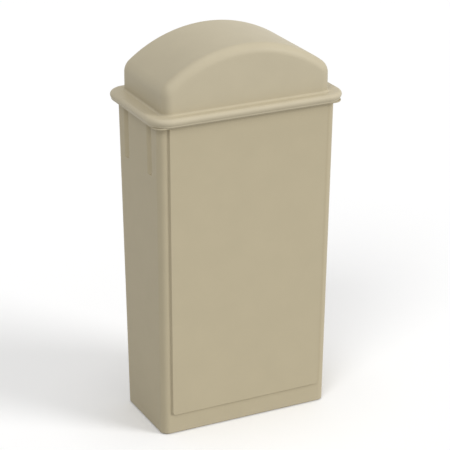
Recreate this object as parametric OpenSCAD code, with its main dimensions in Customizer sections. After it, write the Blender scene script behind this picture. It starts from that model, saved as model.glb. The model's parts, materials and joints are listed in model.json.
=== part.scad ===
// Slim rectangular waste container with a dome top and a swing door.
// Millimetres, +Z up. The origin is on the floor under the middle of the base.
// X runs along the long side, and -Y is the plain long side. The mouth is in the +Y side.

/* [Container] */
// Length of the container's wall at the floor
base_len = 454; // [400:1:466]
// Depth of the container's wall at the floor
base_dep = 223; // [190:1:240]
// Length of the container's wall under the rim
top_len = 470; // [458:1:540]
// Depth of the container's wall under the rim
top_dep = 253; // [230:1:300]
// Height of the rim's underside
wall_h = 812; // [500:1:900]
// Thickness of the container's wall
wall = 3.2; // [2.4:0.1:4]
// Thickness of the container's floor
floor_t = 4; // [3:0.5:8]
// Radius of the upright corners
corner_r = 20; // [10:1:22]
// Radius of the edge round the base
base_r = 2; // [1:0.5:6]
// Width of the foot that runs round under the base
foot_w = 16; // [10:1:40]
// How far the foot is set back under the base
foot_in = 2.5; // [1:0.5:4]
// Height of the base's edge above the ground
foot_gap = 2.5; // [1:0.5:3]
// Height of the hollow inside the foot
foot_h = 2; // [1:0.5:2.5]
// Radius between the walls and the floor inside
floor_r = 6; // [3:0.5:8]
// Bevel on the small moulded edges
edge = 0.8; // [0.3:0.1:1.2]

/* [Raised panels] */
// How far the panels of the long sides stand out
panel_raise = 5.5; // [2:0.5:10]
// Strip between a panel and the short side
panel_edge = 24.8; // [24:0.2:40]
// Height of a panel's lower edge
panel_z = 53; // [30:1:120]
// Radius of a panel's lower corners
panel_r = 8; // [4:1:20]
// Run of a panel's steep edge
panel_slope = 1.2; // [0.6:0.1:3]

/* [Flutes] */
// Distance of each flute from the middle of the short side
flute_y = 67; // [40:1:72]
// Width of a flute
flute_w = 30; // [16:1:34]
// Depth of a flute
flute_d = 8; // [3:0.5:9]
// Length of a flute below the rim
flute_len = 134; // [60:1:200]

/* [Rim] */
// Reach of the rim beyond the short sides
rim_side = 14; // [10:0.5:20]
// Reach of the rim beyond the raised panels
rim_front = 9.8; // [8:0.1:16]
// Height of the rim's edge
rim_t = 3.5; // [3:0.5:5]
// Radius of the rim's corners
rim_r = 25; // [18:1:30]
// Height of the lid's seat above the rim's edge
seat_h = 17.5; // [15.5:0.5:24]

/* [Dome hood] */
// Wall thickness of the hood
hood_t = 3; // [2.4:0.1:4]
// Gap between the hood's skirt and the seat
skirt_gap = 2; // [1:0.1:3]
// Gap between the skirt's lower edge and the rim
skirt_lift = 0.5; // [0.3:0.1:1.5]
// Radius of the skirt's corners
skirt_r = 47.5; // [40:0.5:54]
// Radius of the bead round the hood
bead_r = 9; // [6:0.5:10]
// How far the bead stands out from the skirt
bead_out = 3.6; // [2:0.1:5]
// Ledge between the skirt and the dome's short sides
ledge_side = 33; // [26:0.5:45]
// Ledge between the skirt and the dome's long sides
ledge_front = 22.4; // [18:0.2:26]
// Radius of the hollow where the dome meets the ledge
foot_r = 6; // [4:0.5:9]
// Height of the dome above the seat
dome_h = 149; // [135:1:170]
// Height of the shoulders' centres above the seat
shoulder_h = 48.2; // [40:0.2:56]
// Radius of the dome's shoulders
shoulder_r = 38; // [32:1:46]
// Radius of the dome's long edges and upright corners
dome_r = 24; // [12:1:24]

/* [Mouth and door] */
// Wall between the mouth and each end of the dome
mouth_side = 48; // [42:1:100]
// Height of the mouth's lower edge above the seat
mouth_low = 25; // [21:0.5:34]
// Strip between the mouth and the rounding of the dome's edge
mouth_strip = 14; // [12:1:24]
// Radius of the mouth's corners
mouth_r = 10; // [4:1:12]
// Overlap of the door behind the edge of the mouth
door_lap = 7; // [6:0.5:8]
// Thickness of the door
door_t = 3; // [2.4:0.1:3.4]
// Depth of the shallow dish in the door's outer face
dish_d = 1; // [0.4:0.1:1.4]
// Rim of the door round that dish
dish_edge = 20; // [12:1:30]
// Depth of the ribs behind the door
rib_d = 4.5; // [2:0.5:5]
// Thickness of the ribs
rib_t = 2.4; // [1.6:0.2:4]
// Spacing of the upright ribs
rib_step = 56; // [30:1:80]

/* [Hinge] */
// Height of the hinge axis above the mouth's upper edge
hinge_up = 12; // [11:0.5:14]
// Distance of the hinge axis behind the hood's wall
hinge_in = 10; // [9.5:0.1:12]
// Radius of the hinge rod
rod_r = 3; // [2:0.1:3.6]
// Running clearance between the rod and its bores
rod_fit = 0.06; // [0.03:0.01:0.1]
// Radius of the door's knuckles
knuckle_r = 6.5; // [5.5:0.1:7]
// Length of one knuckle
knuckle_len = 30; // [16:1:36]
// Distance between the middles of neighbouring knuckles
knuckle_step = 55; // [44:1:58]
// Gap between the outer knuckles and the brackets
knuckle_gap = 1; // [0.5:0.1:2]
// Thickness of a bracket's ear
ear_t = 8; // [5:0.5:10]
// Length of a bracket's plate
plate_len = 34; // [32:1:40]
// Height of a bracket's plate
plate_h = 12; // [10:0.5:13]
// Thickness of a bracket's plate
plate_t = 3; // [2:0.1:3.4]
// Gap between a bracket's plate and the rounding of the dome's edge
plate_gap = 1.2; // [0.3:0.1:4]
// How far the middle of the plate lies below the hinge axis
plate_drop = 0.5; // [0:0.1:1]
// Distance between the two rivets of a bracket
rivet_step = 12; // [10:0.5:14]
// Radius of a rivet's shank
rivet_r = 1.6; // [1.2:0.1:1.8]
// Clearance round a rivet's shank
rivet_fit = 0.1; // [0.05:0.05:0.15]
// Distance of the outer rivet from the plate's end
rivet_edge = 7; // [5:0.5:9]
// How far a rivet's heads reach beyond its shank
rivet_head = 1.6; // [1:0.1:2]
// Height of a rivet's domed outer head
rivet_dome = 1.1; // [0.8:0.1:1.5]
// Thickness of a rivet's flat inner head
rivet_flat = 0.9; // [0.6:0.1:1.2]
// Thickness of a push nut
nut_t = 2.5; // [1.5:0.1:4]
// Radius of a push nut
nut_r = 6; // [5:0.1:6.5]
// Gap between a push nut and the bracket's ear
nut_gap = 0.3; // [0.1:0.1:1]
// Clearance of a push nut round the rod
nut_fit = 0.02; // [0.01:0.01:0.04]
// Length of rod beyond a push nut
rod_tail = 2; // [1:0.5:5]
// Gap between the closed door and the hood's wall
door_gap = 2; // [1.5:0.1:2.4]
// Gap between the door's upper edge and the brackets
door_clear = 2; // [1:0.5:4]
// Gap between the closed door and a bumper
bumper_gap = 0.1; // [0.05:0.05:0.3]
// Radius of a bumper
bumper_r = 3; // [2:0.1:3]
// Distance of the lower bumpers from the mouth's sides
bumper_in = 42; // [20:1:90]
// Height of the side bumpers above the mouth's lower edge
bumper_up = 17; // [6:1:30]

/* [Hidden] */

BEIGE = [0.72, 0.68, 0.57];
STEEL = [0.75, 0.76, 0.78];
RUBBER = [0.13, 0.13, 0.13];
eps = 0.01;
corner_n = 6;                        // steps in each rounded corner of a ring
arch_n = 28;                         // steps in the dome's main arc
shoulder_n = 7;                      // steps in each shoulder
flute_n = 8;                         // steps across a flute
end_n = 5;                           // steps in the rounded ends of flutes and panels
bead_n = 8;                          // steps round the bead
edge_n = 4;                          // steps in the small fillets
reach = 1;                           // how far a cutter reaches past what it cuts

// Heights
seat_z = wall_h + rim_t + seat_h;    // top of the seat, where the hood rests
skirt_z = wall_h + rim_t + skirt_lift;
bead_z = seat_z + hood_t - bead_r;
foot_z = seat_z + hood_t + foot_r;
apex_z = seat_z + dome_h;
shoulder_z = seat_z + shoulder_h;

// Plan sizes, as [half length, half depth, corner radius]
rim_plan = [top_len / 2 + rim_side, top_dep / 2 + panel_raise + rim_front, rim_r];
skirt_out = skirt_gap + hood_t;
skirt_plan = [rim_plan.x + skirt_out, rim_plan.y + skirt_out, skirt_r];
seat_plan = grow(skirt_plan, -skirt_out);
dome_plan = [skirt_plan.x - ledge_side, skirt_plan.y - ledge_front, dome_r];

// Main arc of the dome, tangent to both shoulders
shoulder_x = dome_plan.x - shoulder_r;
arc_rise = apex_z - shoulder_z;
arc_r = (shoulder_x * shoulder_x + arc_rise * arc_rise - shoulder_r * shoulder_r)
        / (2 * (arc_rise - shoulder_r));
arc_z = apex_z - arc_r;
arc_a = atan2(shoulder_x, shoulder_z - arc_z);

// Mouth, door and hinge
wall_y = dome_plan.y;                // outer face of the hood's +Y wall
wall_in_y = wall_y - hood_t;
door_y = wall_in_y - door_gap;       // outer face of the closed door
barrel_x = knuckle_step + knuckle_len / 2;
ear_x = barrel_x + knuckle_gap;
plate_end = ear_x + plate_len;
plate_top_z = arc_z + sqrt(pow(arc_r - dome_r, 2) - pow(plate_end, 2)) - plate_gap;
plate_z = plate_top_z - plate_h / 2; // middle of the brackets' plates
hinge_y = wall_in_y - hinge_in;
hinge_z = plate_z + plate_drop;
mouth_w = 2 * (dome_plan.x - mouth_side);
mouth_low_z = seat_z + mouth_low;
mouth_top_z = hinge_z - hinge_up;
mouth_arc_r = arc_r - dome_r - mouth_strip;
door_top_z = plate_z - plate_h / 2 - door_clear;
nut_x = ear_x + ear_t + nut_gap;
rod_x = nut_x + nut_t + rod_tail;
rivet_x = plate_end - rivet_edge;    // the outer rivet of each bracket

function grow(p, d) = [p.x + d, p.y + d, max(p[2] + d, 1)];
function mix(a, b, t) = a + (b - a) * t;
function clamp01(t) = min(1, max(0, t));

// Ring with rounded corners, clockwise from the front left corner, seen from above
function corner_steps(back) = back ? [corner_n : -1 : 0] : [0 : corner_n];
function ring_corner(p, sx, sy, back, z) = [
    for (k = corner_steps(back)) let (t = 90 * k / corner_n)
    [sx * (p.x - p[2] + p[2] * sin(t)), sy * (p.y - p[2] + p[2] * cos(t)), z]];
function ring(p, z) = concat(
    ring_corner(p, -1, -1, false, z), ring_corner(p, -1, 1, true, z),
    ring_corner(p, 1, 1, false, z), ring_corner(p, 1, -1, true, z));

// Faces that join ring after ring of n points, each ring clockwise from above
function side_faces(n, rings) = [
    for (j = [0 : rings - 2], i = [0 : n - 1]) let (
        a = j * n + i, b = j * n + (i + 1) % n)
    each [[a, b, b + n], [a, b + n, a + n]]];

// Closed solid through a list of rings of equal length, from the underside to the cavity's
// floor. Each end is a fan round a point on the Z axis.
module loft(rings) {
    n = len(rings[0]);
    m = len(rings);
    ends = [for (r = [rings[0], rings[m - 1]]) [0, 0, r[0].z]];
    polyhedron(concat([for (r = rings) each r], ends),
        concat(side_faces(n, m),
               [for (i = [0 : n - 1]) [(i + 1) % n, i, m * n]],
               [for (i = [0 : n - 1]) (m - 1) * n * [1, 1, 0] + [i, (i + 1) % n, m * n + 1]]),
        convexity = 12);
}

// Container: wall sizes at a height, off millimetres inside the outer face
function wall_plan(z, off) = let (t = z / wall_h)
    [mix(base_len, top_len, t) / 2 - off, mix(base_dep, top_dep, t) / 2 - off,
     max(corner_r - off, 2)];
function flute_share(z) = let (low = wall_h - flute_len, r = flute_w / 2, d = z - low)
    d <= 0 ? 0 : d >= r ? 1 : sqrt(1 - pow(1 - d / r, 2));
function panel_share(z) = clamp01((z - panel_z) / panel_slope);
function panel_pull(z) = let (d = clamp01((z - panel_z) / panel_r))
    panel_r * (1 - sqrt(1 - pow(1 - d, 2)));

// Plan outline of the container: plan p, panel raise h of half length w, and flutes of depth d
function panel_pts(p, sy, h, w, z) = let (
        flat_x = p.x - p[2] - edge / 2,
        low = min(w + panel_slope, flat_x),
        top = min(w, flat_x - edge / 2),
        pts = [[low, p.y], [top, p.y + h], [-top, p.y + h], [-low, p.y]])
    [for (q = sy > 0 ? [pts[3], pts[2], pts[1], pts[0]] : pts) [q.x, sy * q.y, z]];
function flute_pts(p, sx, sy, d, z) = [
    for (k = sx < 0 ? [-flute_n / 2 : flute_n / 2] : [flute_n / 2 : -1 : -flute_n / 2])
    let (u = 2 * k / flute_n)
    [sx * (p.x - d * (1 + cos(180 * u)) / 2), sy * flute_y + u * flute_w / 2, z]];
function outline(p, h, w, d, z) = concat(
    ring_corner(p, -1, -1, false, z),
    flute_pts(p, -1, -1, d, z), flute_pts(p, -1, 1, d, z),
    ring_corner(p, -1, 1, true, z),
    panel_pts(p, 1, h, w, z),
    ring_corner(p, 1, 1, false, z),
    flute_pts(p, 1, 1, d, z), flute_pts(p, 1, -1, d, z),
    ring_corner(p, 1, -1, true, z),
    panel_pts(p, -1, h, w, z));
function wall_ring(z, off) = let (p = wall_plan(z, off))
    outline(p, panel_raise * panel_share(z - off), p.x - panel_edge - panel_pull(z - off),
            flute_d * flute_share(z + off), z);
function plain_ring(p, z) = outline(p, 0, p.x - panel_edge, 0, z);

// Heights at which the wall's outline changes
function wall_steps(off) = concat(
    [for (k = [0 : edge_n]) panel_z + off + panel_slope * k / edge_n],
    [for (k = [1 : edge_n]) panel_z + off + mix(panel_slope, panel_r, k / edge_n)],
    [for (k = [0 : end_n])
     wall_h - flute_len - off + flute_w / 2 * (1 - cos(90 * k / end_n))]);

module container() color(BEIGE) {
    base = wall_plan(0, 0);
    foot = grow(base, -base_r - foot_in);
    floor_plan = wall_plan(floor_t, wall);
    steps_in = wall_steps(wall);
    rim_z = wall_h + rim_t;
    outside = concat(
        [plain_ring(grow(foot, -foot_w - foot_h), foot_h), plain_ring(grow(foot, -foot_w), 0),
         plain_ring(foot, 0), plain_ring(foot, foot_gap)],
        [for (k = [0 : edge_n]) let (t = 90 * k / edge_n)
         plain_ring(grow(base, -base_r * (1 - sin(t))), foot_gap + base_r * (1 - cos(t)))],
        [for (z = wall_steps(0)) wall_ring(z, 0)],
        [wall_ring(wall_h, 0), plain_ring(grow(rim_plan, -edge), wall_h),
         plain_ring(rim_plan, wall_h + edge), plain_ring(rim_plan, rim_z - edge),
         plain_ring(grow(rim_plan, -edge), rim_z), plain_ring(seat_plan, rim_z),
         plain_ring(seat_plan, seat_z - edge), plain_ring(grow(seat_plan, -edge), seat_z)]);
    inside = concat(
        [plain_ring(grow(seat_plan, edge - wall), seat_z),
         plain_ring(grow(seat_plan, -wall), seat_z - edge),
         plain_ring(grow(seat_plan, -wall), wall_h + wall),
         wall_ring(wall_h - wall, wall)],
        [for (k = [len(steps_in) - 1 : -1 : 0]) wall_ring(steps_in[k], wall)],
        [for (k = [0 : edge_n]) let (t = 90 * k / edge_n)
         plain_ring(grow(floor_plan, -floor_r * (1 - cos(t))), floor_t + floor_r * (1 - sin(t)))]);
    loft(concat(outside, inside));
}

// Dome: profile across the long side, inset d millimetres from the outer surface,
// from the left foot over the arch to the right foot
function half_arch(d) = concat(
    [for (k = [0 : arch_n / 2 - 1]) let (t = arc_a * k / (arch_n / 2))
     [(arc_r - d) * sin(t), arc_z + (arc_r - d) * cos(t)]],
    [for (k = [0 : shoulder_n]) let (t = arc_a + (90 - arc_a) * k / shoulder_n)
     [shoulder_x + (shoulder_r - d) * sin(t), shoulder_z + (shoulder_r - d) * cos(t)]]);
function arch(d, low) = let (h = half_arch(d), n = len(h), foot = [dome_plan.x - d, low])
    concat([[-foot.x, foot.y]], [for (k = [n - 1 : -1 : 1]) [-h[k].x, h[k].y]], h, [foot]);

// Solid dome on top of a stack of rings. Off is its depth inside the outer surface.
module dome_on_rings(rings, off, low) {
    r = dome_r - off;
    b = dome_plan.y - off;
    half = corner_n + 1;
    stations = 2 * half;
    st = [for (s = [0 : stations - 1]) let (
            k = s < half ? s : stations - 1 - s, t = 90 * k / corner_n)
          [(s < half ? -1 : 1) * (b - r + r * cos(t)), off + r * (1 - sin(t))]];
    n = len(rings[0]);
    m = len(rings);
    top = (m - 1) * n;
    cols = len(arch(off, low));
    inner = cols - 2;
    pts = concat([for (g = rings) each g],
        [for (s = st) let (a = arch(s.y, low)) for (i = [1 : inner]) [a[i].x, s.x, a[i].y]]);
    function at(s, i) = i == 0 ? top + s : i == cols - 1 ? top + n - 1 - s
                      : m * n + s * inner + i - 1;
    polyhedron(pts, concat(
        [[for (i = [n - 1 : -1 : 0]) i]], side_faces(n, m),
        [for (s = [0 : stations - 2], i = [0 : cols - 2])
         each [[at(s, i), at(s + 1, i), at(s + 1, i + 1)], [at(s, i), at(s + 1, i + 1), at(s, i + 1)]]],
        [[for (i = [0 : cols - 1]) at(0, i)], [for (i = [cols - 1 : -1 : 0]) at(stations - 1, i)]]),
        convexity = 12);
}

// Hollow between ledge and dome: radius r about the same centre line
function foot_rings(r) = [for (k = [0 : edge_n]) let (t = 90 * (1 - k / edge_n))
    ring(grow(dome_plan, foot_r - r * cos(t)), foot_z - r * sin(t))];

module hood_outside() {
    bead = grow(skirt_plan, bead_out - bead_r);
    // Round hollow under the bead, tangent to the skirt and to the bead
    cove_z = skirt_z + edge;
    cove_h = bead_z - cove_z;
    cove_r = (bead_out * bead_out + cove_h * cove_h) / (2 * bead_out) - bead_r;
    cove_a = asin(cove_h / (cove_r + bead_r));
    rings = concat(
        [ring(grow(skirt_plan, -edge), skirt_z)],
        [for (k = [0 : edge_n]) let (t = cove_a * k / edge_n)
         ring(grow(skirt_plan, cove_r * (1 - cos(t))), cove_z + cove_r * sin(t))],
        [for (k = [1 : bead_n]) let (t = mix(-cove_a, 90, k / bead_n))
         ring(grow(bead, bead_r * cos(t)), bead_z + bead_r * sin(t))],
        foot_rings(foot_r));
    dome_on_rings(rings, 0, foot_z);
}

module hood_inside() {
    skirt_in = grow(skirt_plan, -hood_t);
    rings = concat(
        [ring(skirt_in, skirt_z - reach), ring(skirt_in, seat_z),
         ring(grow(seat_plan, -wall - edge), seat_z)],
        foot_rings(foot_r + hood_t));
    dome_on_rings(rings, hood_t, foot_z);
}

// Opening of the mouth, grown by d, in the XZ plane
module mouth_shape(d, top) intersection() {
    translate([0, arc_z]) circle(r = mouth_arc_r + d, $fn = 180);
    translate([-mouth_w / 2 - d, mouth_low_z - d]) square([mouth_w + 2 * d, top - mouth_low_z + d]);
}

// Extrudes a shape of the XZ plane from y back towards -Y
module stand(y, t) translate([0, y, 0]) rotate([90, 0, 0]) linear_extrude(t) children();

// Bar along X round the hinge axis
module on_axis(x, len) translate([x, hinge_y, hinge_z]) rotate([0, 90, 0])
    linear_extrude(len) children();

module rivet_places() for (side = [-1, 1], k = [0, 1])
    translate([side * (rivet_x - k * rivet_step), 0, plate_z]) rotate([-90, 0, 0]) children();

// Rounds the outward corners of a flat shape after drawing its edges in by d
module rounded(d) offset(r = mouth_r, $fn = 40) offset(delta = -mouth_r - d) children();

module dome_hood() color(BEIGE) difference() {
    hood_outside();
    hood_inside();
    stand(wall_y + reach, hood_t + 2 * reach) rounded(0) mouth_shape(0, mouth_top_z);
    rivet_places() translate([0, 0, wall_in_y - reach])
        cylinder(r = rivet_r + rivet_fit, h = hood_t + 2 * reach, $fn = 32);
}

// Outline of the door
module door_shape() mouth_shape(door_lap, door_top_z);

module door_panel() difference() {
    stand(door_y, door_t) rounded(0) door_shape();
    stand(door_y + reach, reach + dish_d) rounded(dish_edge) door_shape();
}

module door_ribs() stand(door_y - door_t + eps, rib_d + eps) intersection() {
    offset(delta = -dish_edge / 2) door_shape();
    for (k = [-2 : 2]) translate([k * rib_step - rib_t / 2, mouth_low_z - door_lap])
        square([rib_t, door_top_z]);
}

// Knuckle round the hinge axis, with the tab that carries it
module knuckle(x) {
    root_z = door_top_z - knuckle_r;
    on_axis(x - knuckle_len / 2, knuckle_len) circle(r = knuckle_r, $fn = 64);
    stand(door_y, door_t) translate([x - knuckle_len / 2, root_z])
        square([knuckle_len, hinge_z - root_z]);
}

module swing_door() color(BEIGE) difference() {
    union() {
        door_panel();
        door_ribs();
        for (k = [-1 : 1]) knuckle(k * knuckle_step);
    }
    on_axis(-barrel_x - reach, 2 * (barrel_x + reach)) circle(r = rod_r + rod_fit, $fn = 64);
}

module hinge_rod() color(STEEL) on_axis(-rod_x, 2 * rod_x) circle(r = rod_r, $fn = 64);

// Bracket on the +X side: a plate on the hood's wall, and an ear for the rod
module bracket() difference() {
    union() {
        translate([ear_x, wall_in_y - plate_t, plate_z - plate_h / 2])
            cube([plate_len, plate_t, plate_h]);
        on_axis(ear_x, ear_t) circle(r = knuckle_r, $fn = 64);
        translate([ear_x, hinge_y, plate_z - plate_h / 2])
            cube([ear_t, hinge_in - plate_t + eps, plate_h]);
    }
    on_axis(ear_x - reach, ear_t + 2 * reach) circle(r = rod_r + rod_fit, $fn = 64);
    for (k = [0, 1]) translate([rivet_x - k * rivet_step, wall_in_y + reach, plate_z])
        rotate([90, 0, 0])
        cylinder(r = rivet_r + rivet_fit, h = plate_t + 2 * reach, $fn = 32);
}
module hinge_bracket_left() color(BEIGE) mirror([1, 0, 0]) bracket();
module hinge_bracket_right() color(BEIGE) bracket();

// Rivets: shank through wall and plate, domed head outside, flat head inside
module bracket_rivets() color(STEEL) rivet_places() rotate_extrude($fn = 48) {
    head_r = rivet_r + rivet_head;
    ball_r = (head_r * head_r + rivet_dome * rivet_dome) / (2 * rivet_dome);
    translate([0, wall_in_y - plate_t - rivet_flat]) square([head_r, rivet_flat]);
    translate([0, wall_in_y - plate_t - eps]) square([rivet_r, hood_t + plate_t + 2 * eps]);
    translate([0, wall_y]) intersection() {
        square([head_r, rivet_dome]);
        translate([0, rivet_dome - ball_r]) circle(r = ball_r, $fn = 64);
    }
}

module rod_push_nuts() color(STEEL) for (side = [0, 1]) mirror([side, 0, 0])
    on_axis(nut_x, nut_t) difference() {
        circle(r = nut_r, $fn = 64);
        circle(r = rod_r + nut_fit, $fn = 64);
    }

// Rubber bumpers on the hood's wall, behind the overlap of the door
module door_bumpers() color(RUBBER) {
    low = [mouth_w / 2 - bumper_in, mouth_low_z - door_lap / 2];
    high = [mouth_w / 2 + door_lap / 2, mouth_low_z + bumper_up];
    for (side = [-1, 1], at = [low, high])
        translate([side * at.x, door_y + bumper_gap, at.y]) rotate([-90, 0, 0])
            cylinder(r = bumper_r, h = door_gap - bumper_gap, $fn = 32);
}

container();
dome_hood();
swing_door();
hinge_rod();
hinge_bracket_left();
hinge_bracket_right();
bracket_rivets();
rod_push_nuts();
door_bumpers();
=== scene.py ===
"""Looks of a slim rectangular waste container with a dome hood and an inward swing door.

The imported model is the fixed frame, and every piece made here stands where its node stands.
Sizes of the pieces are millimetres, and become metres where a mesh is made. The studio's are
metres. +Z is up, -Y is the plain long side, and +Y the side with the mouth and the door.
"""

from __future__ import annotations

import json
import logging
import math
from dataclasses import dataclass
from enum import Enum
from functools import cache, partial
from typing import Any, Iterable, Sequence

import bmesh
import bpy
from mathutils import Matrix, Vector


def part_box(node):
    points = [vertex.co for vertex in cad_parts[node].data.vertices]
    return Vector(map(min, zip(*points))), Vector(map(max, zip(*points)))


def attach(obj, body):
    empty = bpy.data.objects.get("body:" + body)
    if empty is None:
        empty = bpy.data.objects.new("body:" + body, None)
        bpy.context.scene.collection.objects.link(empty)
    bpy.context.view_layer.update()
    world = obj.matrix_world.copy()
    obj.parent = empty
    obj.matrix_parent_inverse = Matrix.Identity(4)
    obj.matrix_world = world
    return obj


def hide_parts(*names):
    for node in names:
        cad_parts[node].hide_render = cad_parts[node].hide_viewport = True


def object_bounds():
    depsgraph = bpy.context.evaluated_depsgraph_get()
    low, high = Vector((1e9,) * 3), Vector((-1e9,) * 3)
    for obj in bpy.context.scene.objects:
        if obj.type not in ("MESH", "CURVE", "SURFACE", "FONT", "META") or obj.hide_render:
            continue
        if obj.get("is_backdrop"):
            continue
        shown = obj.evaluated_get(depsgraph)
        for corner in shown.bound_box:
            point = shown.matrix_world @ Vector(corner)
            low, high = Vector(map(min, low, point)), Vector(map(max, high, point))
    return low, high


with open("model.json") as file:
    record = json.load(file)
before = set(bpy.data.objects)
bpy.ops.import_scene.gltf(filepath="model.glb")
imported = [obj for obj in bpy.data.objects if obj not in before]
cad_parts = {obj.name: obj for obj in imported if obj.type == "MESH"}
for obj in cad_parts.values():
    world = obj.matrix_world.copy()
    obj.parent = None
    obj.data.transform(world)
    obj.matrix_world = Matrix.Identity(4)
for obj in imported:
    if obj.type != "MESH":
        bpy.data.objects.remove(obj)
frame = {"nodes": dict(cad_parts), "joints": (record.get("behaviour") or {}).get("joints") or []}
CAD_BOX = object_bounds()

LOG = logging.getLogger("waste_receptacle")
MM = 0.001
RIGHT_ANGLE = math.pi / 2
LEAST_RADIUS = 1.0
SIDES = (-1, 1)
NOISE_LOW, NOISE_HIGH = 0.3, 0.7  # Blender's noise lies mostly between these

Flat = tuple[float, float]
Point = tuple[float, float, float]
Ring = list[bmesh.types.BMVert]
Piece = bpy.types.Object
Tree = bpy.types.NodeTree


# ---------------------------------------------------------------- sums and curves


def mix(low: float, high: float, share: float) -> float:
    """Value at a share of the way from low to high."""
    return low + (high - low) * share


def smooth(share: float) -> float:
    """Share of a rise that starts and ends level."""
    return share * share * (3 - 2 * share)


def shares(steps: int) -> list[float]:
    """Even shares from 0 to 1, both included."""
    return [k / steps for k in range(steps + 1)]


def quarter(radius: float, steps: int) -> list[Flat]:
    """Steps round a quarter circle, as (way gone along one side, way left along the other)."""
    turns = [t * RIGHT_ANGLE for t in shares(steps)]
    return [(radius * (1 - math.cos(a)), radius * (1 - math.sin(a))) for a in turns]


def mix_rings(first: Sequence[Point], second: Sequence[Point], share: float) -> list[Point]:
    """Ring at a share of the way between two rings of equal length."""
    return [tuple(mix(a, b, share) for a, b in zip(p, q)) for p, q in zip(first, second)]


@dataclass(frozen=True)
class Plan:
    """Rectangle with rounded corners, seen from above, about the Z axis."""

    half_x: float
    half_y: float
    radius: float

    def grown(self, d: float) -> Plan:
        """The same plan with its edge moved outwards by d, or inwards where d is negative."""
        return Plan(self.half_x + d, self.half_y + d, max(self.radius + d, LEAST_RADIUS))

    def corner(self, side_x: int, side_y: int, steps: int, reverse: bool) -> list[Flat]:
        """Points round one corner.

        Args:
            side_x: 1 for the +X side, -1 for the -X side.
            side_y: 1 for the +Y side, -1 for the -Y side.
            steps: number of steps in the corner.
            reverse: whether the points run from the X side to the Y side.

        Returns:
            Points from the Y side to the X side, or the other way where reverse is set.
        """
        arc = [
            (side_x * (self.half_x - left), side_y * (self.half_y - gone))
            for gone, left in quarter(self.radius, steps)
        ]
        return arc[::-1] if reverse else arc

    def ring(self, z: float, steps: int) -> list[Point]:
        """Ring at a height.

        Args:
            z: the height.
            steps: number of steps in each corner.

        Returns:
            Points clockwise from above, from the front left corner.
        """
        flat = (
            self.corner(-1, -1, steps, False)
            + self.corner(-1, 1, steps, True)
            + self.corner(1, 1, steps, False)
            + self.corner(1, -1, steps, True)
        )
        return [(x, y, z) for x, y in flat]

    def upright(self, x: float, y: float, z: float, steps: int = 4) -> list[Point]:
        """Ring of the plan stood up about (x, y, z), so that it faces along Y."""
        return [(x + across, y, z + up) for across, up, _ in self.ring(0, steps)]


# ---------------------------------------------------------------- mesh making


class Wear(Enum):
    """How far handling has polished a ring of points paler, from 0 to 1."""

    NONE = 0.0
    VAULT = 0.25
    UNDERSIDE = 0.3
    BASE = 0.35
    INNER = 0.6
    RIM = 0.8
    BEAD = 0.9
    EDGE = 1.0


class Axis(Enum):
    """Way in which a turned profile's distance grows: the axis's number and its sign."""

    RIGHT = (0, 1)
    LEFT = (0, -1)
    BACK = (1, 1)
    FRONT = (1, -1)


def add_object(name: str, data: bpy.types.ID) -> Piece:
    """Adds an object that holds a mesh, a lamp or a camera to the scene.

    Args:
        name: the object's name.
        data: what it holds.

    Returns:
        The object.
    """
    made = bpy.data.objects.new(name, data)
    bpy.context.scene.collection.objects.link(made)
    return made


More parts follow.
